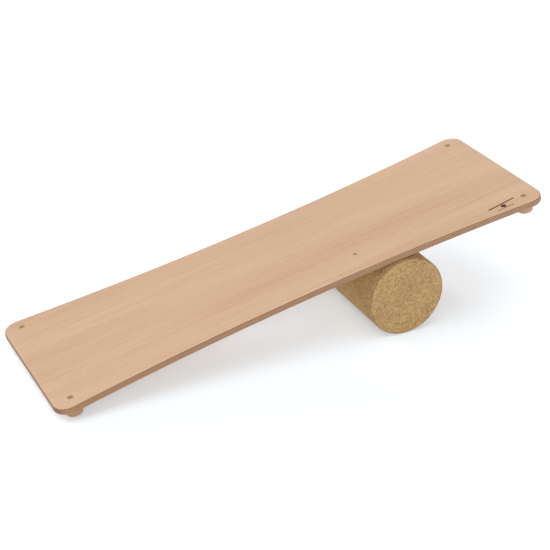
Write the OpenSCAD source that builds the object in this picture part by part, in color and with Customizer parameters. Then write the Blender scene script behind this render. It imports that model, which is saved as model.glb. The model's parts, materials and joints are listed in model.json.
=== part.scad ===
// Balance board: a waisted plywood deck with four screwed-on stop feet, lying on a loose cork roller.
// Origin: on the floor, under the middle of the whole board as it lies with its left feet on the floor.
// +X runs along the board towards its raised end, +Y across it, +Z up.

/* [Deck] */
// Length of the deck
deck_l = 800; // [600:10:1000]
// Width of the deck at its ends, where its sides would meet them without the corner arcs
deck_w = 265; // [240:1:320]
// Width of the deck at its waist
waist_w = 224; // [200:1:236]
// Thickness of the glued plywood
deck_t = 12; // [9:0.5:18]
// Radius of the four corners, seen from above
corner_r = 23; // [12:1:30]
// Slope of the deck as it lies at rest, in degrees
slope = 12; // [10:0.1:13]

/* [Feet] */
// Diameter of a foot
foot_d = 24; // [18:1:28]
// Height of a foot
foot_h = 13.5; // [12:0.5:16]
// Chamfer around the foot's lower rim
foot_chamfer = 1.5; // [0.5:0.5:3]
// From the deck's end to the middle of a foot
foot_end_gap = 27; // [22:1:40]
// From that width's edge to the middle of a foot
foot_side_gap = 24.5; // [22:0.5:34]

/* [Screws] */
// Shank diameter of a countersunk screw
screw_d = 4; // [3:0.5:4.5]
// Head diameter
head_d = 8.5; // [7:0.5:9.5]
// Length of the screw with its head
screw_l = 20; // [16:1:22]
// Depth of the cross recess in the head
recess_depth = 1.8; // [1:0.1:2]

/* [Roller] */
// Outer diameter of the roller
roller_d = 125; // [100:1:150]
// Length of the roller with both end discs
roller_l = 236; // [200:1:240]
// Diameter of the wooden core inside
core_d = 40; // [25:1:60]
// Thickness of a cork end disc
disc_t = 8; // [5:0.5:15]
// Chamfer around the roller's ends
roller_chamfer = 1.5; // [0.5:0.5:3]

/* [Fits] */
// Gap between the deck and the roller that it lies on
rest_gap = 0.3; // [0.2:0.05:0.5]
// Radial clearance of the core in its bore
core_clearance = 0.05; // [0.02:0.01:0.1]
// Clearance around a screw in the deck
screw_clearance = 0.2; // [0.1:0.05:0.5]
// Depth of a screw head below the deck's top
head_sink = 0.2; // [0.1:0.1:0.5]

/* [Hidden] */

// The plywood: nine veneers of one thickness, their grain crossed from one to the next
core_veneers = 7;
veneer_t = deck_t / (core_veneers + 2);

// Plan of the deck: each side is one long concave arc, tangent to the corner arcs
waist_depth = (deck_w - waist_w) / 2;
side_r = (pow(deck_l / 2, 2) + pow(waist_depth, 2)) / (2 * waist_depth);
side_y = waist_w / 2 + side_r;
corner_x = deck_l / 2 - corner_r;
corner_turn = asin(corner_x / (side_r + corner_r));
corner_y = side_y - (side_r + corner_r) * cos(corner_turn);
side_steps = 48;
corner_steps = 12;

// The feet's middles, and the radius of the ring on which a foot stands
foot_x = deck_l / 2 - foot_end_gap;
foot_y = deck_w / 2 - foot_side_gap;
foot_rim_r = foot_d / 2 - foot_chamfer;

// The deck lies with its left feet's rims on the floor, and the whole board is centred on X = 0
deck_x = deck_t * sin(slope) / 2;
deck_z = (foot_x + foot_rim_r) * sin(slope) + foot_h * cos(slope);

// The roller touches the floor, and lies under the deck where the slope has that height
roller_r = roller_d / 2;
roller_drop = roller_r + rest_gap;
roller_u = (roller_r + roller_drop * cos(slope) - deck_z) / sin(slope);
roller_x = deck_x + roller_u * cos(slope) + roller_drop * sin(slope);
sleeve_l = roller_l - 2 * disc_t;
core_end_gap = 0.3;

// Countersunk heads, cut for a cross driver
head_rim = 0.3;
head_cone_h = (head_d - screw_d) / 2;
point_h = 3;
recess_w = 4.2;
recess_slot = 1;
pilot_depth = screw_l - deck_t + 1;
pilot_clearance = 0.05;
slack = 1;

long_grain = "#dcb996";
cross_grain = "#b98a60";
foot_wood = "#b98c63";
steel = "#b9b9b6";
cork = "#b8955f";
core_wood = "#d9bd92";
$fn = 96;

// Points along an arc, without the first and last of them when skip is 1
function arc(cx, cy, r, from, to, steps, skip = 0) =
    [for (i = [skip : steps - skip])
        let (a = from + (to - from) * i / steps) [cx + r * cos(a), cy + r * sin(a)]];

// Half of the deck's outline, from its right end over the rear side to its left end
function rear_outline() = concat(
    arc(corner_x, corner_y, corner_r, 0, 90 + corner_turn, corner_steps),
    arc(0, side_y, side_r, corner_turn - 90, -corner_turn - 90, side_steps, 1),
    arc(-corner_x, corner_y, corner_r, 90 - corner_turn, 180, corner_steps)
);

module deck_outline() {
    rear = rear_outline();
    polygon(concat(rear, [for (p = rear) -p]));
}

// Places what is drawn flat, with Z = 0 as the deck's underside, on the sloping deck
module on_deck() {
    translate([deck_x, 0, deck_z]) rotate([0, -slope, 0]) children();
}

module at_each_foot() {
    for (x = [-foot_x, foot_x], y = [-foot_y, foot_y]) translate([x, y, 0]) children();
}

// The hole for one screw through the deck, countersunk from above
module screw_hole() {
    hole_r = screw_d / 2 + screw_clearance;
    sink_r = head_d / 2 + screw_clearance;
    rim_z = deck_t - head_sink - head_rim;
    translate([0, 0, -slack]) cylinder(r = hole_r, h = deck_t + slack);
    translate([0, 0, rim_z - (sink_r - hole_r)]) cylinder(r1 = hole_r, r2 = sink_r, h = sink_r - hole_r);
    translate([0, 0, rim_z]) cylinder(r = sink_r, h = deck_t - rim_z + slack);
}

// One veneer of the deck, counted from the underside
module veneer(level, tint) {
    color(tint) on_deck() difference() {
        translate([0, 0, level * veneer_t]) linear_extrude(veneer_t) deck_outline();
        at_each_foot() screw_hole();
    }
}

module face_veneer_bottom() { veneer(0, long_grain); }

// Core veneers are numbered from the top, and every other one lies across the deck
module core_veneer(number) {
    veneer(core_veneers + 1 - number, number % 2 == 1 ? cross_grain : long_grain);
}

module face_veneer_top() { veneer(core_veneers + 1, long_grain); }

// A turned foot under the deck, with the blind pilot hole for its screw; x and y are each -1 or 1
module foot(x, y) {
    color(foot_wood) on_deck() translate([x * foot_x, y * foot_y, -foot_h]) difference() {
        rotate_extrude() polygon([
            [0, 0], [foot_rim_r, 0], [foot_d / 2, foot_chamfer], [foot_d / 2, foot_h], [0, foot_h],
        ]);
        translate([0, 0, foot_h - pilot_depth])
            cylinder(r = screw_d / 2 + pilot_clearance, h = pilot_depth + slack);
    }
}

// One screw, drawn upright with the top of its head at Z = 0
module screw() {
    shank_l = screw_l - head_rim - head_cone_h - point_h;
    difference() {
        union() {
            translate([0, 0, -head_rim]) cylinder(d = head_d, h = head_rim);
            translate([0, 0, -head_rim - head_cone_h]) cylinder(d1 = screw_d, d2 = head_d, h = head_cone_h);
            translate([0, 0, point_h - screw_l]) cylinder(d = screw_d, h = shank_l);
            translate([0, 0, -screw_l]) cylinder(d1 = 0, d2 = screw_d, h = point_h);
        }
        for (turn = [0, 90]) rotate(turn) translate([-recess_w / 2, -recess_slot / 2, -recess_depth])
            cube([recess_w, recess_slot, recess_depth + slack]);
    }
}

module foot_screws() {
    color(steel) on_deck() at_each_foot() translate([0, 0, deck_t - head_sink]) screw();
}

// Places what is drawn upright around Z on the roller's axis, with Z = 0 at the middle of its length
module on_roller_axis() {
    translate([roller_x, 0, roller_r]) rotate([90, 0, 0]) children();
}

// The thick cork tube that the deck rolls on
module roller_sleeve() {
    color(cork) on_roller_axis() difference() {
        cylinder(d = roller_d, h = sleeve_l, center = true);
        cylinder(r = core_d / 2 + core_clearance, h = sleeve_l + 2 * slack, center = true);
    }
}

module roller_core() {
    color(core_wood) on_roller_axis()
        cylinder(d = core_d, h = sleeve_l - 2 * core_end_gap, center = true);
}

// A cork disc that closes one end of the roller; side is 1 for the front and -1 for the rear
module roller_disc(side) {
    color(cork) on_roller_axis() mirror([0, 0, side < 0 ? 1 : 0]) translate([0, 0, sleeve_l / 2])
        rotate_extrude() polygon([
            [0, 0], [roller_r, 0], [roller_r, disc_t - roller_chamfer],
            [roller_r - roller_chamfer, disc_t], [0, disc_t],
        ]);
}

face_veneer_top();
for (number = [1 : core_veneers])
    core_veneer(number);
face_veneer_bottom();
foot(-1, -1);  // foot_left_front
foot(-1, 1);  // foot_left_rear
foot(1, -1);  // foot_right_front
foot(1, 1);  // foot_right_rear
foot_screws();
roller_sleeve();
roller_core();
roller_disc(1);  // roller_disc_front
roller_disc(-1);  // roller_disc_rear
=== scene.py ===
"""Balance board: the finished deck, feet, screws and cork roller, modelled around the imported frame."""
import json
import math
from contextlib import contextmanager

import bmesh
import bpy
from mathutils import Matrix, Vector


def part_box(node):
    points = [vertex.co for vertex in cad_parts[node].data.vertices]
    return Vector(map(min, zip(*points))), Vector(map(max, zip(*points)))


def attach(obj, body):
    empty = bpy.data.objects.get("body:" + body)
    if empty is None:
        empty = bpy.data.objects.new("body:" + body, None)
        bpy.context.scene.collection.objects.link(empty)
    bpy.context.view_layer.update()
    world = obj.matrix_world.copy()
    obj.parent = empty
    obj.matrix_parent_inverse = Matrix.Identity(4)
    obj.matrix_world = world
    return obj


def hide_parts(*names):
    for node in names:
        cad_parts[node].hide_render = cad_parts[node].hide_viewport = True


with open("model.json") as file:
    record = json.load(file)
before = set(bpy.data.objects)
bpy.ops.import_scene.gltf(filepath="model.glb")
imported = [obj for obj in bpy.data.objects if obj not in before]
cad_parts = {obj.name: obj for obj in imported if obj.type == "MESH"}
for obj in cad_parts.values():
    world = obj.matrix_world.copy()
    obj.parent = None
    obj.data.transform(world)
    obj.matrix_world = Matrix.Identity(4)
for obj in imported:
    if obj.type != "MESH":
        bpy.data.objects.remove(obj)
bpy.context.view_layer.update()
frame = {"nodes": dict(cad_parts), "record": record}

bl_info = {
    "name": "Balance Board Workshop",
    "version": (1, 0, 0),
    "blender": (4, 5, 0),
    "location": "3D View > Sidebar > Balance Board",
    "description": "Models a waisted plywood balance board, its feet, screws and cork roller",
    "category": "Add Mesh",
}

MM = 0.001

# The deck's own frame: X along the deck, Y across it, Z = 0 on its top face
TOP_MOUNT = next(m for m in frame["record"]["mounts"] if m["name"] == "deck_top")
SLOPE = math.atan2(-TOP_MOUNT["axis"][0], TOP_MOUNT["axis"][2])
DECK_ORIGIN = Vector(TOP_MOUNT["pos_m"])
DECK_PLACE = Matrix.Translation(DECK_ORIGIN) @ Matrix.Rotation(-SLOPE, 4, "Y")

PLY_NODES = (
    ["face_veneer_top"] + [f"core_veneer_{number}" for number in range(1, 8)] + ["face_veneer_bottom"]
)
CORNERS = {
    "left_front": (-1, -1), "left_rear": (-1, 1), "right_front": (1, -1), "right_rear": (1, 1),
}


def deck_points(node):
    """A CAD node's corners in the deck's own frame."""
    to_deck = DECK_PLACE.inverted()
    return [to_deck @ v.co for v in frame["nodes"][node].data.vertices]


def span(points, axis):
    """Lowest and highest place of some points along one axis."""
    places = [p[axis] for p in points]
    return min(places), max(places)


# Sizes of the CAD deck, which the finished deck repeats
TOP_PLY = deck_points("face_veneer_top")
DECK_T = -span(deck_points("face_veneer_bottom"), 2)[0]
PLY_T = DECK_T / len(PLY_NODES)
HALF_L = span(TOP_PLY, 0)[1]
HALF_W = span(TOP_PLY, 1)[1]
END_Y = max(p.y for p in TOP_PLY if p.x > HALF_L - MM / 10)
CORNER_R = HALF_W - END_Y
EDGE_POINTS = [p for p in TOP_PLY if p.y > HALF_W / 2 and abs(p.x) < HALF_L - 2 * CORNER_R]
WAIST_Y = min(EDGE_POINTS, key=lambda p: abs(p.x)).y
FAR_EDGE = max(EDGE_POINTS, key=lambda p: p.x)
SIDE_R = (FAR_EDGE.x ** 2 + (FAR_EDGE.y - WAIST_Y) ** 2) / (2 * (FAR_EDGE.y - WAIST_Y))

FOOT_POINTS = deck_points("foot_right_rear")
FOOT_X = sum(span(FOOT_POINTS, 0)) / 2
FOOT_Y = sum(span(FOOT_POINTS, 1)) / 2
FOOT_R = span(FOOT_POINTS, 0)[1] - FOOT_X
FOOT_H = -DECK_T - span(FOOT_POINTS, 2)[0]
SCREW_TOP, SCREW_TIP = span(deck_points("foot_screws"), 2)[::-1]
HEAD_R = span(deck_points("foot_screws"), 0)[1] - FOOT_X

SLEEVE_LOW, SLEEVE_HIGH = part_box("roller_sleeve")
ROLLER_R = (SLEEVE_HIGH.z - SLEEVE_LOW.z) / 2
ROLLER_AXIS = (SLEEVE_LOW + SLEEVE_HIGH) / 2
SLEEVE_L = SLEEVE_HIGH.y - SLEEVE_LOW.y
DISC_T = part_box("roller_disc_rear")[1].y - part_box("roller_disc_rear")[0].y
CORE_R = (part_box("roller_core")[1].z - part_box("roller_core")[0].z) / 2


def tint(red, green, blue):
    """A colour given from 0 to 255, as linear light."""
    return tuple(
        c / 12.92 if c <= 0.04045 else ((c + 0.055) / 1.055) ** 2.4
        for c in (red / 255, green / 255, blue / 255)
    )


def length(title, text, default):
    """A setting in metres."""
    return bpy.props.FloatProperty(
        name=title, description=text, default=default, unit="LENGTH", precision=5)


def colour(title, text, default):
    """A setting that holds a colour as linear light."""
    return bpy.props.FloatVectorProperty(
        name=title, description=text, default=default, subtype="COLOR", size=3, min=0, max=1)


class DeckSettings(bpy.types.PropertyGroup):
    arris: length("Arris", "Radius of the sanded edge around both faces", 3.0 * MM)
    seam: length("Ply seam", "Width of the fine groove between two plies", 0.1 * MM)
    beech: colour("Beech", "Main colour of the face veneers", tint(211, 176, 146))
    streak: colour("Streak", "Darker growth bands in the face veneers", tint(192, 154, 122))
    fleck: colour("Fleck", "Short ray flecks in the beech", tint(132, 90, 60))
    # This colour is also what the painted shade on the deck's end faces darkens towards.
    end_grain: colour("End grain", "Beech cut across the fibre", tint(103, 66, 38))
    core_beech: colour("Core beech", "Core plies along their fibre", tint(178, 136, 98))
    glue: colour("Glue", "Glue line between two plies", tint(82, 52, 34))
    knot: colour("Pin knot", "Small knot in the top face", tint(96, 58, 34))
    knot_x: length("Knot place", "Distance of the pin knot from the middle, along the deck", 100 * MM)
    knot_y: length("Knot offset", "Distance of the pin knot from the middle, across the deck", -69.5 * MM)
    knot_r: length("Knot radius", "Radius of the pin knot", 1.7 * MM)
    mark_l: length("Mark length", "Length of the burned see-saw mark", 48 * MM)
    mark_x: length("Mark place", "Distance of the mark from the middle, along the deck", 335 * MM)
    mark_y: length("Mark offset", "Distance of the mark from the middle, across the deck", -109 * MM)
    mark_depth: length("Mark depth", "Depth of the burned mark", 0.25 * MM)
    burn: colour("Burn", "Colour of the burned mark", tint(74, 44, 26))


class FittingSettings(bpy.types.PropertyGroup):
    foot_rim: length("Foot rim", "Rounding around the lower rim of a foot", 1.4 * MM)
    foot_wood: colour("Foot beech", "Turned beech of the feet", tint(186, 146, 112))
    foot_end: colour("Foot end grain", "End grain on the face of a foot", tint(150, 110, 78))
    steel: colour("Steel", "Yellow zinc-plated steel of the screws", tint(228, 194, 138))
    recess_depth: length("Recess depth", "Depth of the cross recess in a screw head", 1.8 * MM)
    recess_w: length("Recess width", "Width of the cross recess from tip to tip", 4.6 * MM)


class RollerSettings(bpy.types.PropertyGroup):
    chamfer: length("Chamfer", "Chamfer around the roller's ends", 1.5 * MM)
    granule: length("Granule", "Usual size of a cork granule", 2.8 * MM)
    relief: length("Relief", "Depth of the pits between granules", 0.4 * MM)
    cork: colour("Cork", "Main colour of the cork granules", tint(174, 139, 91))
    pale_cork: colour("Pale cork", "Palest granules", tint(192, 159, 112))
    dark_cork: colour("Dark cork", "Bark-coloured granules", tint(112, 76, 42))
    core_wood: colour("Core wood", "Beech dowel inside the cork", tint(217, 189, 146))


class StageSettings(bpy.types.PropertyGroup):
    azimuth: bpy.props.FloatProperty(
        name="Azimuth", description="Side from which the camera looks", default=math.radians(-26.13),
        unit="ROTATION")
    elevation: bpy.props.FloatProperty(
        name="Elevation", description="Height of the view above the horizon", default=math.radians(27.80),
        unit="ROTATION")
    distance: length("Distance", "Distance of the camera from what it aims at", 2.2493)
    aim: bpy.props.FloatVectorProperty(
        name="Aim", description="Point that the camera looks at", default=(-0.0029, -0.0041, 0.0827),
        subtype="XYZ", unit="LENGTH")
    lens: bpy.props.FloatProperty(
        name="Lens", description="Focal length in millimetres", default=98.14, min=20)
    floor: colour("Floor", "Plain paper under the board", (0.87, 0.90, 0.95))
    sky: bpy.props.FloatProperty(
        name="Room light", description="Strength of the soft light from above", default=0.44, min=0)
    walls: bpy.props.FloatProperty(
        name="Wall light", description="Strength of the light from the pale walls around the stage",
        default=1.0, min=0)
    glow: bpy.props.FloatProperty(
        name="Floor glow", description="Light that the floor gives off, as a light table does",
        default=0.235, min=0)
    glow_tint: colour("Glow colour", "Cool, to balance the light that the wood throws on the floor",
                      (0.74, 0.92, 1.0))
    key: bpy.props.FloatProperty(
        name="Key light", description="Strength of the wide soft light overhead", default=0.96, min=0)
    fill: bpy.props.FloatProperty(
        name="Fill light", description="Strength of the softer light from the front left", default=0.9,
        min=0)
    back: bpy.props.FloatProperty(
        name="Back light", description="Strength of the low light behind, which reaches under the deck",
        default=1.3, min=0)


# ---- Hand tools: selecting, editing and finishing a piece


def only(*pieces):
    """Selects these pieces alone, the first of them active."""
    bpy.ops.object.select_all(action="DESELECT")
    for piece in pieces:
        piece.select_set(True)
    bpy.context.view_layer.objects.active = pieces[0]


def started(name):
    """Names the primitive that was just added."""
    piece = bpy.context.object
    piece.name = name
    piece.data.name = name
    return piece


@contextmanager
def editing(piece, kind="EDGE"):
    """Edit mode on one piece with nothing selected; gives its mesh for picking parts of it."""
    only(piece)
    bpy.ops.object.mode_set(mode="EDIT")
    bpy.ops.mesh.select_mode(type=kind)
    bpy.ops.mesh.select_all(action="DESELECT")
    yield bmesh.from_edit_mesh(piece.data)
    bpy.ops.object.mode_set(mode="OBJECT")


def pick(piece, kind, test):
    """In edit mode, selects the vertices, edges or faces that pass the test, and nothing else."""
    bpy.ops.mesh.select_mode(type=kind)
    bpy.ops.mesh.select_all(action="DESELECT")
    mesh = bmesh.from_edit_mesh(piece.data)
    parts = {"VERT": mesh.verts, "EDGE": mesh.edges, "FACE": mesh.faces}[kind]
    for part in parts:
        if test(part):
            part.select_set(True)
    mesh.select_flush_mode()
    bmesh.update_edit_mesh(piece.data)


def middle(part):
    """Middle of an edge or a face."""
    return sum((v.co for v in part.verts), Vector()) / len(part.verts)


def settle(piece, place=None):
    """Moves a piece's place into its mesh, so that its object stays at the origin."""
    if place is not None:
        piece.matrix_world = place @ piece.matrix_world
    only(piece)
    bpy.ops.object.transform_apply(location=True, rotation=True, scale=True)


def modified(piece, kind, **settings):
    """Adds a modifier and applies it."""
    only(piece)
    modifier = piece.modifiers.new(kind.title(), kind)
    for key, value in settings.items():
        setattr(modifier, key, value)
    bpy.ops.object.modifier_apply(modifier=modifier.name)


def cut(piece, cutter):
    """Cuts a shape out of a piece, throws the cutter away and merges what the cut left double."""
    modified(piece, "BOOLEAN", operation="DIFFERENCE", solver="EXACT", object=cutter)
    bpy.data.objects.remove(cutter)
    with editing(piece):
        bpy.ops.mesh.select_all(action="SELECT")
        bpy.ops.mesh.remove_doubles(threshold=MM / 1000)


def copied(piece, name):
    """A copy of a piece with its own mesh."""
    twin = piece.copy()
    twin.data = piece.data.copy()
    twin.name = name
    twin.data.name = name
    bpy.context.collection.objects.link(twin)
    return twin


def smooth(piece, degrees):
    """Shades a piece smooth, apart from edges sharper than the given angle."""
    only(piece)
    bpy.ops.object.shade_smooth_by_angle(angle=math.radians(degrees))


def painted(piece, *finishes):
    """Gives a piece its materials, in the order of its faces' material numbers."""
    piece.data.materials.clear()
    for finish in finishes:
        piece.data.materials.append(finish)


def handed_over(piece, body, slot, *nodes):
    """A finished piece rides on its body and stands for its CAD nodes, which it hides; its slot is not
    used.
    """
    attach(piece, body)
    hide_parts(*nodes)


# ---- Finishes


def add(tree, kind, inputs=None, **settings):
    """Adds a shader node; each input is a plain value or another node's output."""
    node = tree.nodes.new("ShaderNode" + kind)
    for key, value in settings.items():
        setattr(node, key, value)
    for key, value in (inputs or {}).items():
        if isinstance(value, bpy.types.NodeSocket):
            tree.links.new(value, node.inputs[key])
        else:
            node.inputs[key].default_value = value
    return node


def sums(tree, operation, first, second=0.0):
    """One arithmetic step between two numbers."""
    return add(tree, "Math", {0: first, 1: second}, operation=operation).outputs[0]


def blended(tree, factor, first, second):
    """Mixes two colours: the first at factor 0, the second at factor 1."""
    node = add(tree, "Mix", data_type="RGBA")
    for place, value in ((0, factor), (6, first), (7, second)):
        if isinstance(value, bpy.types.NodeSocket):
            tree.links.new(value, node.inputs[place])
        else:
            node.inputs[place].default_value = value if place == 0 else (*value, 1)
    return node.outputs[2]


def stepped(tree, value, low, high, bottom=0.0, top=1.0):
    """Rises smoothly from bottom to top as the value goes from low to high."""
    node = add(tree, "MapRange", {
        "Value": value, "From Min": low, "From Max": high, "To Min": bottom, "To Max": top,
    }, interpolation_type="SMOOTHSTEP")
    return node.outputs[0]


def noise(tree, place, per_metre, detail=3.0, roughness=0.55, distortion=0.0, output="Fac"):
    """Cloudy pattern whose grain is given in waves per metre along each axis."""
    stretched = add(tree, "VectorMath", {0: place, 1: per_metre}, operation="MULTIPLY").outputs[0]
    return add(tree, "TexNoise", {
        "Vector": stretched, "Scale": 1.0, "Detail": detail, "Roughness": roughness,
        "Distortion": distortion,
    }).outputs[output]


def warped(tree, place, per_metre, reach):
    """Places pushed about by up to about reach, so that a pattern on them loses its regular look."""
    push = noise(tree, place, (per_metre,) * 3, detail=3.0, output="Color")
    centred = add(tree, "VectorMath", {0: push, 1: (0.5, 0.5, 0.5)}, operation="SUBTRACT").outputs[0]
    scaled = add(tree, "VectorMath", {0: centred, "Scale": reach * 4}, operation="SCALE").outputs[0]
    return add(tree, "VectorMath", {0: place, 1: scaled}, operation="ADD").outputs[0]


def cells(tree, place, per_metre, output="Distance", feature="F1"):
    """Cell pattern whose density is given per metre along each axis."""
    stretched = add(tree, "VectorMath", {0: place, 1: per_metre}, operation="MULTIPLY").outputs[0]
    return add(tree, "TexVoronoi", {
        "Vector": stretched, "Scale": 1.0, "Randomness": 1.0,
    }, feature=feature).outputs[output]


def new_finish(name):
    """An empty material: its node tree, its shader and the object's own coordinates."""
    finish = bpy.data.materials.new(name)
    finish.use_nodes = True
    tree = finish.node_tree
    tree.nodes.clear()
    shader = add(tree, "BsdfPrincipled")
    output = add(tree, "OutputMaterial")
    tree.links.new(shader.outputs[0], output.inputs["Surface"])
    coordinates = add(tree, "TexCoord")
    return finish, tree, shader, coordinates


def placed(tree, coordinates, origin, turn):
    """Object coordinates measured in a piece's own frame."""
    return add(tree, "Mapping", {
        "Vector": coordinates.outputs["Object"], "Location": origin, "Rotation": turn,
    }, vector_type="TEXTURE").outputs[0]


def raised(tree, shader, height, depth, strength=1.0):
    """Fine relief too small to model."""
    bump = add(tree, "Bump", {"Height": height, "Distance": depth, "Strength": strength})
    tree.links.new(bump.outputs[0], shader.inputs["Normal"])


def along(grain, fibre, across):
    """Waves per metre for a pattern that runs along one axis."""
    return tuple(fibre if axis == grain else across for axis in range(3))


def wood(tree, shader, place, normal, grain, main, streak, fleck, end, roughness=0.5):
    """Beech: growth bands, fibre, ray flecks and darker end grain. Returns its colour."""
    bands = noise(tree, place, along(grain, 1.3, 17.0), detail=2.0, distortion=0.6)
    lines = noise(tree, place, along(grain, 5.0, 130.0), detail=4.0, roughness=0.6)
    fibre = noise(tree, place, along(grain, 60.0, 1500.0), detail=2.0)
    depth = sums(tree, "ADD",
                 sums(tree, "MULTIPLY", stepped(tree, bands, 0.35, 0.7), 0.5),
                 sums(tree, "MULTIPLY", stepped(tree, lines, 0.38, 0.72), 0.36))
    body = blended(tree, depth, main, streak)
    body = blended(tree, stepped(tree, fibre, 0.40, 0.75, 0.0, 0.45), body, streak)
    dash = cells(tree, place, along(grain, 260.0, 1250.0))
    patchy = stepped(tree, noise(tree, place, along(grain, 12.0, 30.0)), 0.35, 0.6, 0.35, 1.0)
    dashes = sums(tree, "MULTIPLY", stepped(tree, dash, 0.26, 0.12), patchy)
    body = blended(tree, sums(tree, "MULTIPLY", dashes, 0.6), body, fleck)
    facing = add(tree, "SeparateXYZ", {0: normal}).outputs[grain]
    cross_cut = stepped(tree, sums(tree, "ABSOLUTE", facing), 0.45, 0.85)
    pores = noise(tree, place, (900.0, 900.0, 900.0), detail=2.0)
    end_colour = blended(tree, stepped(tree, pores, 0.35, 0.7), end, fleck)
    body = blended(tree, sums(tree, "MULTIPLY", cross_cut, 0.85), body, end_colour)
    tree.links.new(stepped(tree, lines, 0.3, 0.8, roughness - 0.06, roughness + 0.08),
                   shader.inputs["Roughness"])
    raised(tree, shader, sums(tree, "SUBTRACT", fibre, dashes), 0.05 * MM, 0.6)
    shader.inputs["Specular IOR Level"].default_value = 0.35
    return body


def deck_coordinates(tree, coordinates):
    """Places and directions in the deck's own frame."""
    place = placed(tree, coordinates, DECK_ORIGIN, (0, -SLOPE, 0))
    turned = add(tree, "Mapping", {
        "Vector": coordinates.outputs["Normal"], "Rotation": (0, SLOPE, 0),
    }, vector_type="NORMAL").outputs[0]
    return place, turned


def glue_lines(tree, place, body, glue):
    """Thin dark lines where two plies meet."""
    height = add(tree, "SeparateXYZ", {0: place}).outputs[2]
    level = sums(tree, "DIVIDE", height, -PLY_T)
    off = sums(tree, "ABSOLUTE", sums(tree, "SUBTRACT", level, sums(tree, "ROUND", level)))
    inner = sums(tree, "MULTIPLY",
                 sums(tree, "GREATER_THAN", level, 0.5),
                 sums(tree, "LESS_THAN", level, len(PLY_NODES) - 0.5))
    line = sums(tree, "MULTIPLY", stepped(tree, off, 0.10, 0.03), inner)
    return blended(tree, sums(tree, "MULTIPLY", line, 0.75), body, glue)


def painted_end_shade(tree, turned):
    """How much painted shade darkens the deck's two end faces, chosen by which way they face, from 0 to
    1.
    """
    facing = sums(tree, "ABSOLUTE", add(tree, "SeparateXYZ", {0: turned}).outputs[0])
    return stepped(tree, facing, 0.6, 1.0, 0.0, 0.8)


def ply_finish(name, grain, main, streak, settings, pin_knot=False):
    """A beech veneer with its fibre along X, 0, or Y, 1."""
    finish, tree, shader, coordinates = new_finish(name)
    place, turned = deck_coordinates(tree, coordinates)
    body = wood(tree, shader, place, turned, grain, main, streak, settings.fleck, settings.end_grain)
    body = glue_lines(tree, place, body, settings.glue)
    # Painted shade: the deck's end faces are darkened towards the end-grain colour.
    body = blended(tree, painted_end_shade(tree, turned), body, settings.end_grain)
    if pin_knot:
        body = with_pin_knot(tree, place, body, settings)
    tree.links.new(body, shader.inputs["Base Color"])
    shader.inputs["Coat Weight"].default_value = 0.1
    shader.inputs["Coat Roughness"].default_value = 0.35
    return finish


def with_pin_knot(tree, place, body, settings):
    """A small dark knot in the top face, with a darker ring of turned fibre around it."""
    offset = add(tree, "VectorMath", {
        0: place, 1: (settings.knot_x, settings.knot_y, 0),
    }, operation="SUBTRACT").outputs[0]
    oval = add(tree, "VectorMath", {0: offset, 1: (0.7, 1.0, 1.0)}, operation="MULTIPLY").outputs[0]
    far = add(tree, "VectorMath", {0: oval}, operation="LENGTH").outputs["Value"]
    ring = sums(tree, "MULTIPLY",
                stepped(tree, far, settings.knot_r * 0.8, settings.knot_r * 1.6),
                stepped(tree, far, settings.knot_r * 3.5, settings.knot_r * 1.6))
    body = blended(tree, sums(tree, "MULTIPLY", ring, 0.5), body, settings.streak)
    return blended(tree, stepped(tree, far, settings.knot_r * 1.15, settings.knot_r * 0.7), body,
                   settings.knot)


def burned_finish(settings):
    """Wood scorched by the marking iron."""
    finish, tree, shader, coordinates = new_finish("burned_beech")
    place, _ = deck_coordinates(tree, coordinates)
    sooty = noise(tree, place, (700.0, 1600.0, 700.0), detail=4.0)
    body = blended(tree, stepped(tree, sooty, 0.4, 0.75), settings.burn, settings.knot)
    tree.links.new(body, shader.inputs["Base Color"])
    shader.inputs["Roughness"].default_value = 0.8
    raised(tree, shader, sooty, 0.1 * MM)
    return finish


def foot_finish(settings):
    """Turned beech with its fibre standing upright in the foot."""
    finish, tree, shader, coordinates = new_finish("turned_beech")
    place, turned = deck_coordinates(tree, coordinates)
    body = wood(tree, shader, place, turned, 2, settings.foot_wood, settings.foot_end,
                settings.foot_end, settings.foot_end, 0.55)
    tree.links.new(body, shader.inputs["Base Color"])
    return finish


def steel_finish(settings):
    """Yellow zinc-plated steel, dulled by handling."""
    finish, tree, shader, coordinates = new_finish("zinc_plated_steel")
    place, _ = deck_coordinates(tree, coordinates)
    dull = noise(tree, place, (500.0, 500.0, 500.0), detail=4.0)
    scratches = noise(tree, place, (300.0, 6000.0, 300.0), detail=1.0)
    body = blended(tree, stepped(tree, dull, 0.3, 0.8, 0.0, 0.45), settings.steel, (0.35, 0.33, 0.29))
    tree.links.new(body, shader.inputs["Base Color"])
    tree.links.new(stepped(tree, dull, 0.3, 0.7, 0.28, 0.45), shader.inputs["Roughness"])
    shader.inputs["Metallic"].default_value = 1.0
    raised(tree, shader, scratches, 0.01 * MM)
    return finish


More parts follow.
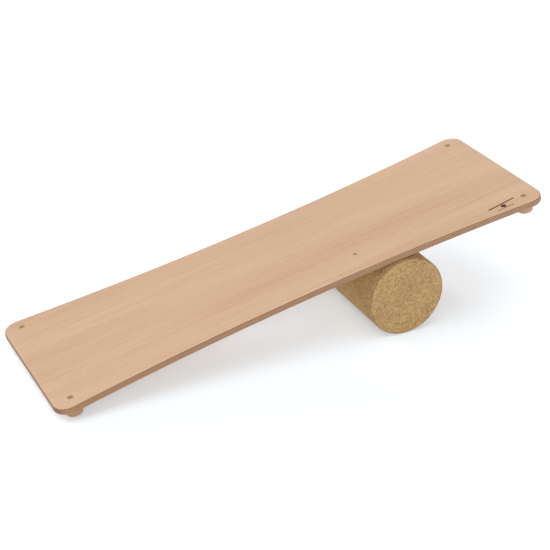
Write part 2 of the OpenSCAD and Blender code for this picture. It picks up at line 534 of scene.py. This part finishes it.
def cork_finish(settings):
    """Pressed cork: granules of several browns and sizes, broken seams and a few bark crumbs."""
    finish, tree, shader, coordinates = new_finish("pressed_cork")
    place = placed(tree, coordinates, ROLLER_AXIS, (0, 0, 0))
    density = 1 / settings.granule
    ragged = warped(tree, place, 0.9 * density, 0.28 * settings.granule)
    coarse = (density,) * 3
    fine = (2.3 * density,) * 3
    large = add(tree, "SeparateColor", {0: cells(tree, ragged, coarse, "Color")})
    small = add(tree, "SeparateColor", {0: cells(tree, ragged, fine, "Color")})
    crushed = stepped(tree, noise(tree, place, (0.35 * density,) * 3, detail=2.0), 0.44, 0.56)
    tone = add(tree, "Mix", {0: crushed, 2: large.outputs[0], 3: small.outputs[0]}).outputs[0]
    body = blended(tree, stepped(tree, tone, 0.05, 0.95), settings.cork, settings.pale_cork)
    cloud = noise(tree, place, (0.08 * density,) * 3, detail=2.0)
    body = blended(tree, stepped(tree, cloud, 0.35, 0.7, 0.0, 0.12), body, settings.dark_cork)
    body = blended(tree, stepped(tree, large.outputs[1], 0.70, 0.98, 0.0, 0.34), body,
                   settings.dark_cork)
    body = blended(tree, stepped(tree, small.outputs[2], 0.88, 0.96, 0.0, 0.5), body,
                   settings.dark_cork)
    seams = cells(tree, ragged, coarse, "Distance", "DISTANCE_TO_EDGE")
    broken = stepped(tree, noise(tree, place, (0.6 * density,) * 3, detail=3.0), 0.42, 0.62)
    seam = sums(tree, "MULTIPLY", stepped(tree, seams, 0.10, 0.0), broken)
    body = blended(tree, sums(tree, "MULTIPLY", seam, 0.5), body, settings.dark_cork)
    grit = noise(tree, place, (6 * density,) * 3, detail=4.0, roughness=0.7)
    body = blended(tree, stepped(tree, grit, 0.45, 0.8, 0.0, 0.35), body, settings.dark_cork)
    body = blended(tree, handled_rim(tree, place), body, settings.dark_cork)
    tree.links.new(body, shader.inputs["Base Color"])
    tree.links.new(stepped(tree, tone, 0.0, 1.0, 0.74, 0.88), shader.inputs["Roughness"])
    shader.inputs["Specular IOR Level"].default_value = 0.25
    domes = cells(tree, ragged, fine)
    height = sums(tree, "SUBTRACT", sums(tree, "MULTIPLY", grit, 0.6), sums(tree, "ADD", domes, seam))
    raised(tree, shader, height, 0.22 * MM, 0.8)
    return finish


def handled_rim(tree, place):
    """How much the roller's rims are darkened by handling, from 0 to 1."""
    rim = 2.6 * MM
    parts = add(tree, "SeparateXYZ", {0: place})
    level = add(tree, "VectorMath", {0: place, 1: (1, 0, 1)}, operation="MULTIPLY").outputs[0]
    out = add(tree, "VectorMath", {0: level}, operation="LENGTH").outputs["Value"]
    half = SLEEVE_L / 2 + DISC_T
    near_end = stepped(tree, sums(tree, "ABSOLUTE", parts.outputs[1]), half - rim, half - rim / 3)
    near_wall = stepped(tree, out, ROLLER_R - rim, ROLLER_R - rim / 3)
    patchy = stepped(tree, noise(tree, place, (90.0,) * 3), 0.3, 0.7, 0.35, 0.75)
    return sums(tree, "MULTIPLY", sums(tree, "MULTIPLY", near_end, near_wall), patchy)


def core_finish(settings):
    """Beech dowel with its fibre along the roller's axis."""
    finish, tree, shader, coordinates = new_finish("core_beech")
    place = placed(tree, coordinates, ROLLER_AXIS, (0, 0, 0))
    streak = tuple(0.7 * c for c in settings.core_wood)
    dark = tuple(0.4 * c for c in settings.core_wood)
    body = wood(tree, shader, place, coordinates.outputs["Normal"], 1, settings.core_wood, streak,
                dark, dark, 0.6)
    tree.links.new(body, shader.inputs["Base Color"])
    return finish


# ---- The deck


def arc(centre, radius, start, end, steps, skip=0):
    """Points along an arc given in degrees, without its first and last skip points."""
    turns = [math.radians(start + (end - start) * i / steps) for i in range(skip, steps + 1 - skip)]
    return [Vector((centre[0] + radius * math.cos(t), centre[1] + radius * math.sin(t))) for t in turns]


def deck_outline():
    """The deck seen from above: long concave sides, tangent to round corners."""
    side_y = WAIST_Y + SIDE_R
    corner_x = HALF_L - CORNER_R
    turn = math.degrees(math.asin(corner_x / (SIDE_R + CORNER_R)))
    corner_y = side_y - (SIDE_R + CORNER_R) * math.cos(math.radians(turn))
    corner_steps, side_steps = 14, 64
    rear = arc((corner_x, corner_y), CORNER_R, 0, 90 + turn, corner_steps)
    rear += arc((0, side_y), SIDE_R, turn - 90, -turn - 90, side_steps, 1)
    rear += arc((-corner_x, corner_y), CORNER_R, 90 - turn, 180, corner_steps)
    return rear + [-p for p in rear]


def deck_blank(settings):
    """The whole deck as one glued and sanded blank, before it is told apart into plies."""
    outline = deck_outline()
    bpy.ops.mesh.primitive_circle_add(vertices=len(outline), radius=HALF_L, fill_type="NGON")
    blank = started("deck_blank")
    with editing(blank, "FACE") as mesh:
        mesh.verts.ensure_lookup_table()
        ring = sorted(mesh.verts, key=lambda v: math.atan2(v.co.y, v.co.x) % math.tau)
        for vertex, point in zip(ring, outline):
            vertex.co = (point.x, point.y, -DECK_T)
        bmesh.update_edit_mesh(blank.data)
        bpy.ops.mesh.select_all(action="SELECT")
        bpy.ops.mesh.extrude_region_move(TRANSFORM_OT_translate={"value": (0, 0, DECK_T)})
        bpy.ops.mesh.select_all(action="SELECT")
        bpy.ops.mesh.normals_make_consistent(inside=False)
        pick(blank, "EDGE", lambda e: abs(e.verts[0].co.z - e.verts[1].co.z) < MM / 100)
        bpy.ops.mesh.bevel(offset=settings.arris, segments=6, profile=0.5)
    return blank


def lathe(name, profile, steps=64):
    """A turned solid from a profile of (radius, height) points that starts and ends on the axis."""
    bpy.ops.mesh.primitive_circle_add(vertices=len(profile), radius=profile[1][0])
    piece = started(name)
    with editing(piece, "EDGE") as mesh:
        mesh.verts.ensure_lookup_table()
        for vertex, (radius, height) in zip(list(mesh.verts), profile):
            vertex.co = (radius, 0, height)
        bmesh.update_edit_mesh(piece.data)
        pick(piece, "EDGE", lambda e: all(abs(v.co.x) < MM / 1000 for v in e.verts))
        bpy.ops.mesh.delete(type="EDGE")
        bpy.ops.mesh.select_all(action="SELECT")
        bpy.ops.mesh.spin(steps=steps, angle=math.tau, center=(0, 0, 0), axis=(0, 0, 1))
        bpy.ops.mesh.select_all(action="SELECT")
        bpy.ops.mesh.remove_doubles(threshold=MM / 1000)
        bpy.ops.mesh.normals_make_consistent(inside=False)
    return piece


def sink_cutter(x, y):
    """The countersunk hole for one screw."""
    hole_r, sink_r, lip = HEAD_R / 2, HEAD_R + 0.15 * MM, 0.4 * MM
    cone = sink_r - hole_r
    cutter = lathe("sink_cutter", [
        (0, MM), (sink_r, MM), (sink_r, -lip), (hole_r, -lip - cone), (hole_r, -DECK_T - MM),
        (0, -DECK_T - MM),
    ], 48)
    settle(cutter, Matrix.Translation((x, y, 0)))
    return cutter


def pill(name, long, wide, deep):
    """A flat bar with round ends, along X."""
    bpy.ops.mesh.primitive_cube_add(size=1, scale=(long, wide, deep))
    bar = started(name)
    settle(bar)
    with editing(bar):
        pick(bar, "EDGE", lambda e: abs(e.verts[0].co.z - e.verts[1].co.z) > deep / 2)
        bpy.ops.mesh.bevel(offset=wide * 0.49, segments=8, profile=0.5)
    return bar


def mark_cutter(settings):
    """A small see-saw: a leaning bar on a disc, on a short ground line."""
    bar_w, disc_r, lean = settings.mark_l / 18, settings.mark_l / 11, math.radians(5)
    gap, deep = bar_w / 3, 2 * settings.mark_depth
    bar = pill("mark_bar", settings.mark_l, bar_w, deep)
    settle(bar, Matrix.Rotation(lean, 4, "Z"))
    bpy.ops.mesh.primitive_cylinder_add(vertices=48, radius=disc_r, depth=deep)
    disc = started("mark_disc")
    with editing(disc):
        pick(disc, "EDGE", lambda e: abs(e.verts[0].co.z - e.verts[1].co.z) < deep / 2)
        bpy.ops.mesh.bevel(offset=deep / 8, segments=1)
    settle(disc, Matrix.Translation((0, -disc_r - bar_w / 2 - gap, 0)))
    ground = pill("mark_ground", settings.mark_l * 0.62, bar_w / 2, deep)
    settle(ground, Matrix.Translation((0, -2 * disc_r - bar_w - 1.5 * gap, 0)))
    only(bar, disc, ground)
    bpy.ops.object.join()
    settle(bar, Matrix.Translation((settings.mark_x, settings.mark_y + disc_r, 0)))
    return bar


def ply_from(blank, number, settings):
    """One veneer, cut out of the blank between two levels, with its seams eased."""
    ply = copied(blank, f"{PLY_NODES[number]}_sanded")
    top, bottom = -number * PLY_T, -(number + 1) * PLY_T
    with editing(ply, "FACE"):
        for level, side in ((top, "clear_outer"), (bottom, "clear_inner")):
            if -DECK_T < level < 0:
                bpy.ops.mesh.select_all(action="SELECT")
                bpy.ops.mesh.bisect(plane_co=(0, 0, level), plane_no=(0, 0, 1), use_fill=True,
                                    **{side: True})
        seams = [level for level in (top, bottom) if -DECK_T < level < 0]

        def on_seam(edge):
            """An edge where a glue line meets the deck's outer wall, so not one in a screw hole."""
            level_edge = any(all(abs(v.co.z - s) < MM / 1000 for v in edge.verts) for s in seams)
            walls = [f for f in edge.link_faces if abs(f.normal.z) < 0.99]
            in_screw_hole = any(
                (middle(edge).xy - Vector((x * FOOT_X, y * FOOT_Y))).length < FOOT_R
                for x, y in CORNERS.values())
            return level_edge and len(walls) == 1 and not in_screw_hole

        pick(ply, "EDGE", on_seam)
        bpy.ops.mesh.bevel(offset=settings.seam / 2, segments=1)
    return ply


class BOARD_OT_deck(bpy.types.Operator):
    """Models the nine veneers of the deck, with sanded edges, countersunk holes and the burned mark"""
    bl_idname = "board.deck"
    bl_label = "Deck"

    def execute(self, context):
        settings = context.scene.board_deck
        blank = deck_blank(settings)
        for x, y in CORNERS.values():
            cut(blank, sink_cutter(x * FOOT_X, y * FOOT_Y))
        face = ply_finish("face_beech", 0, settings.beech, settings.streak, settings, pin_knot=True)
        under = ply_finish("under_beech", 0, settings.beech, settings.streak, settings)
        lengthwise = ply_finish("lengthwise_beech", 0, settings.core_beech, settings.streak, settings)
        crosswise = ply_finish("crosswise_beech", 1, settings.core_beech, settings.streak, settings)
        for number, node in enumerate(PLY_NODES):
            ply = ply_from(blank, number, settings)
            if number == 0:
                painted(ply, face, burned_finish(settings))
                cutter = mark_cutter(settings)
                painted(cutter, face, bpy.data.materials["burned_beech"])
                for polygon in cutter.data.polygons:
                    polygon.material_index = 1
                cut(ply, cutter)
                slot = "face_veneer"
            elif number == len(PLY_NODES) - 1:
                painted(ply, under)
                slot = "face_veneer"
            else:
                painted(ply, crosswise if number % 2 else lengthwise)
                slot = "cross_veneer" if number % 2 else "long_veneer"
            settle(ply, DECK_PLACE)
            smooth(ply, 25)
            handed_over(ply, "deck", slot, node)
        bpy.data.objects.remove(blank)
        return {"FINISHED"}


# ---- Feet and screws


class BOARD_OT_feet(bpy.types.Operator):
    """Turns one stop foot and sets a copy of it under each corner"""
    bl_idname = "board.feet"
    bl_label = "Stop feet"

    def execute(self, context):
        settings = context.scene.board_fittings
        rim, top, low = settings.foot_rim, -DECK_T, -DECK_T - FOOT_H
        dimple_r, dimple_rim_r = 0.9 * MM, 1.3 * MM
        groove_r, groove = FOOT_R * 0.62, 0.25 * MM
        line_depth, line_w = 0.12 * MM, 0.4 * MM
        rounding = arc((FOOT_R - rim, low + rim), rim, -90, 0, 6)
        master = lathe("foot_blank", [
            (0, low + 2 * groove), (dimple_r, low + 1.2 * groove), (dimple_rim_r, low),
            (groove_r - groove, low), (groove_r, low + groove), (groove_r + groove, low),
            *[(p.x, p.y) for p in rounding],
            (FOOT_R, top - MM - line_w), (FOOT_R - line_depth, top - MM - line_w / 2),
            (FOOT_R, top - MM),
            (FOOT_R, top), (0, top),
        ], 96)
        finish = foot_finish(settings)
        for corner, (x, y) in CORNERS.items():
            foot = copied(master, f"foot_{corner}_turned")
            painted(foot, finish)
            settle(foot, DECK_PLACE @ Matrix.Translation((x * FOOT_X, y * FOOT_Y, 0)))
            smooth(foot, 30)
            handed_over(foot, "deck", "foot_wood", f"foot_{corner}")
        bpy.data.objects.remove(master)
        return {"FINISHED"}


def recess_cutter(settings):
    """A cross that narrows downwards, for the driver's recess."""
    blades = []
    for turn in (0, 90):
        bpy.ops.mesh.primitive_cube_add(size=1)
        blade = started("recess_blade")
        blade.scale = (settings.recess_w, settings.recess_w * 0.22, 2 * settings.recess_depth)
        settle(blade)
        with editing(blade, "FACE"):
            pick(blade, "FACE", lambda f: f.normal.z < -0.9)
            bpy.ops.transform.resize(value=(0.35, 0.7, 1))
        settle(blade, Matrix.Rotation(math.radians(turn), 4, "Z"))
        blades.append(blade)
    modified(blades[0], "BOOLEAN", operation="UNION", solver="EXACT", object=blades[1])
    bpy.data.objects.remove(blades[1])
    return blades[0]


class BOARD_OT_screws(bpy.types.Operator):
    """Models one countersunk screw and drives a copy of it through the deck above each foot"""
    bl_idname = "board.screws"
    bl_label = "Foot screws"

    def execute(self, context):
        settings = context.scene.board_fittings
        shank_r, lip, tip = HEAD_R * 0.47, 0.3 * MM, SCREW_TIP - SCREW_TOP
        rim, point_l = 0.12 * MM, 3 * MM
        edge = arc((HEAD_R - rim, -rim), rim, 90, 0, 4)
        master = lathe("screw_blank", [
            (0, 0), *[(p.x, p.y) for p in edge], (HEAD_R, -lip), (shank_r, -lip - (HEAD_R - shank_r)),
            (shank_r, tip + point_l), (0, tip),
        ], 64)
        cut(master, recess_cutter(settings))
        finish = steel_finish(settings)
        # Degrees by which each screw's recess ended up turned when it was driven home
        driven = {"left_front": 12, "left_rear": 57, "right_front": 31, "right_rear": 78}
        for corner, (x, y) in CORNERS.items():
            screw = copied(master, f"screw_{corner}")
            painted(screw, finish)
            place = Matrix.Translation((x * FOOT_X, y * FOOT_Y, SCREW_TOP))
            settle(screw, DECK_PLACE @ place @ Matrix.Rotation(math.radians(driven[corner]), 4, "Z"))
            smooth(screw, 30)
            handed_over(screw, "deck", "screw_steel", "foot_screws")
        bpy.data.objects.remove(master)
        return {"FINISHED"}


# ---- The roller


def cork_relief(piece, settings, test):
    """Presses shallow pits between the granules into the faces whose vertices pass the test."""
    worked = piece.vertex_groups.new(name="worked")
    worked.add([v.index for v in piece.data.vertices if test(v.co)], 1.0, "REPLACE")
    for kind, size, share in (("VORONOI", 1.0, 0.65), ("CLOUDS", 0.45, 0.35)):
        pattern = bpy.data.textures.new(f"cork_{kind.lower()}", kind)
        pattern.noise_scale = settings.granule * size
        pattern.use_color_ramp = True
        ramp = pattern.color_ramp
        ramp.elements[0].position, ramp.elements[0].color = 0.25, (1, 1, 1, 1)
        ramp.elements[1].position, ramp.elements[1].color = 0.8, (0, 0, 0, 1)
        modified(piece, "DISPLACE", texture=pattern, texture_coords="LOCAL", direction="NORMAL",
                 mid_level=1.0, strength=settings.relief * share, vertex_group="worked")
    piece.vertex_groups.clear()


class BOARD_OT_roller(bpy.types.Operator):
    """Models the cork sleeve and the two cork discs that close its ends"""
    bl_idname = "board.roller"
    bl_label = "Cork roller"

    def execute(self, context):
        settings = context.scene.board_roller
        cork = cork_finish(settings)
        on_axis = Matrix.Translation(ROLLER_AXIS) @ Matrix.Rotation(math.radians(90), 4, "X")
        sleeve = self.sleeve(settings)
        painted(sleeve, cork)
        settle(sleeve, on_axis)
        smooth(sleeve, 40)
        handed_over(sleeve, "roller", "cork", "roller_sleeve")
        for name, flip in (("front", 0), ("rear", math.pi)):
            disc = self.disc(settings, f"roller_disc_{name}_pressed")
            painted(disc, cork)
            settle(disc, on_axis @ Matrix.Rotation(flip, 4, "X")
                   @ Matrix.Translation((0, 0, SLEEVE_L / 2)))
            smooth(disc, 40)
            handed_over(disc, "roller", "cork", f"roller_disc_{name}")
        painted(frame["nodes"]["roller_core"], core_finish(settings))
        return {"FINISHED"}

    def sleeve(self, settings):
        """A thick cork tube around Z, finely divided so that its granules can be pressed in."""
        bore_r = CORE_R + 0.05 * MM
        around, rings = 380, 180
        bpy.ops.mesh.primitive_cylinder_add(vertices=around, radius=ROLLER_R, depth=SLEEVE_L)
        sleeve = started("roller_sleeve_pressed")
        with editing(sleeve):
            pick(sleeve, "EDGE", lambda e: abs(e.verts[0].co.z - e.verts[1].co.z) > SLEEVE_L / 2)
            bpy.ops.mesh.subdivide(number_cuts=rings)
            pick(sleeve, "FACE", lambda f: abs(f.normal.z) > 0.9)
            bpy.ops.mesh.inset(thickness=ROLLER_R - bore_r)
            bpy.ops.mesh.bridge_edge_loops()
        cork_relief(sleeve, settings,
                    lambda p: p.xy.length > ROLLER_R - MM and abs(p.z) < SLEEVE_L / 2 - MM / 10)
        return sleeve

    def disc(self, settings, name):
        """A cork disc with a chamfered outer rim, standing on Z = 0."""
        around, rings, levels = 300, 54, 5
        chamfer = settings.chamfer
        flat_r = ROLLER_R - chamfer
        face = [(flat_r * (1 - i / rings), DISC_T) for i in range(rings + 1)]
        wall = [(ROLLER_R, (DISC_T - chamfer) * i / levels) for i in range(levels + 1)]
        disc = lathe(name, [(0, 0), *wall, *face], around)
        cork_relief(disc, settings, lambda p: p.z > MM / 10)
        return disc


# ---- Stage


def look_from(settings):
    """Camera's place for an azimuth, an elevation and a distance from what it aims at."""
    back = Vector((
        math.sin(settings.azimuth) * math.cos(settings.elevation),
        -math.cos(settings.azimuth) * math.cos(settings.elevation),
        math.sin(settings.elevation),
    ))
    return Vector(settings.aim) + back * settings.distance, back


class BOARD_OT_stage(bpy.types.Operator):
    """Sets the plain pale floor, the soft studio light and the camera"""
    bl_idname = "board.stage"
    bl_label = "Stage"

    def execute(self, context):
        settings = context.scene.board_stage
        bpy.ops.object.select_all(action="DESELECT")
        bpy.ops.mesh.primitive_plane_add(size=30)
        floor = started("floor")
        paper, _, shader, _ = new_finish("white_paper")
        shader.inputs["Base Color"].default_value = (*settings.floor, 1)
        shader.inputs["Roughness"].default_value = 0.9
        shader.inputs["Specular IOR Level"].default_value = 0.1
        shader.inputs["Emission Color"].default_value = (*settings.glow_tint, 1)
        shader.inputs["Emission Strength"].default_value = settings.glow
        painted(floor, paper)

        world = bpy.data.worlds.new("room")
        context.scene.world = world
        world.use_nodes = True
        room = world.node_tree
        height = add(room, "SeparateXYZ", {0: add(room, "TexCoord").outputs["Generated"]}).outputs[2]
        wall_top, ceiling = 0.15, 0.6
        walls_to_ceiling = stepped(room, height, wall_top, ceiling, settings.walls, settings.sky)
        room.links.new(walls_to_ceiling, room.nodes["Background"].inputs["Strength"])
        room.nodes["Background"].inputs["Color"].default_value = (1, 1, 1, 1)

        for name, side, width, strength in (
            ("overhead", (-0.2, -0.05, 1.0), 55, settings.key),
            ("front_fill", (-1.0, -3.0, 1.7), 22, settings.fill),
            ("low_back", (-0.45, 1.0, 0.35), 20, settings.back),
        ):
            bpy.ops.object.light_add(type="SUN", rotation=Vector(side).to_track_quat("Z", "Y").to_euler())
            light = bpy.context.object
            light.name = name
            light.data.angle = math.radians(width)
            light.data.energy = strength
            # The low light reaches under the deck, but leaves no glare on it.
            light.visible_glossy = name != "low_back"

        place, back = look_from(settings)
        bpy.ops.object.camera_add(location=place, rotation=back.to_track_quat("Z", "Y").to_euler())
        camera = bpy.context.object
        camera.name = "camera"
        camera.data.lens = settings.lens
        camera.data.clip_start = 0.01
        camera.data.clip_end = 100
        context.scene.camera = camera
        context.scene.view_settings.view_transform = "Standard"
        return {"FINISHED"}


class BOARD_PT_workshop(bpy.types.Panel):
    """Lists the board's pieces, their sizes and their colours"""
    bl_idname = "BOARD_PT_workshop"
    bl_label = "Balance Board"
    bl_space_type = "VIEW_3D"
    bl_region_type = "UI"
    bl_category = "Balance Board"

    def draw(self, context):
        for operators, name in (
            (("board.stage",), "board_stage"),
            (("board.deck",), "board_deck"),
            (("board.feet", "board.screws"), "board_fittings"),
            (("board.roller",), "board_roller"),
        ):
            section = self.layout.box()
            for operator in operators:
                section.operator(operator)
            settings = getattr(context.scene, name)
            for key in settings.__annotations__:
                section.prop(settings, key)


SETTINGS = {
    "board_deck": DeckSettings,
    "board_fittings": FittingSettings,
    "board_roller": RollerSettings,
    "board_stage": StageSettings,
}
CLASSES = (
    *SETTINGS.values(), BOARD_OT_stage, BOARD_OT_deck, BOARD_OT_feet, BOARD_OT_screws, BOARD_OT_roller,
    BOARD_PT_workshop,
)


def register():
    for cls in CLASSES:
        bpy.utils.register_class(cls)
    for name, group in SETTINGS.items():
        setattr(bpy.types.Scene, name, bpy.props.PointerProperty(type=group))


def unregister():
    for name in SETTINGS:
        delattr(bpy.types.Scene, name)
    for cls in reversed(CLASSES):
        bpy.utils.unregister_class(cls)


def main():
    register()
    bpy.ops.board.stage()
    bpy.ops.board.deck()
    bpy.ops.board.feet()
    bpy.ops.board.screws()
    bpy.ops.board.roller()
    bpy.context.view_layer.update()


if __name__ == "__main__":
    main()
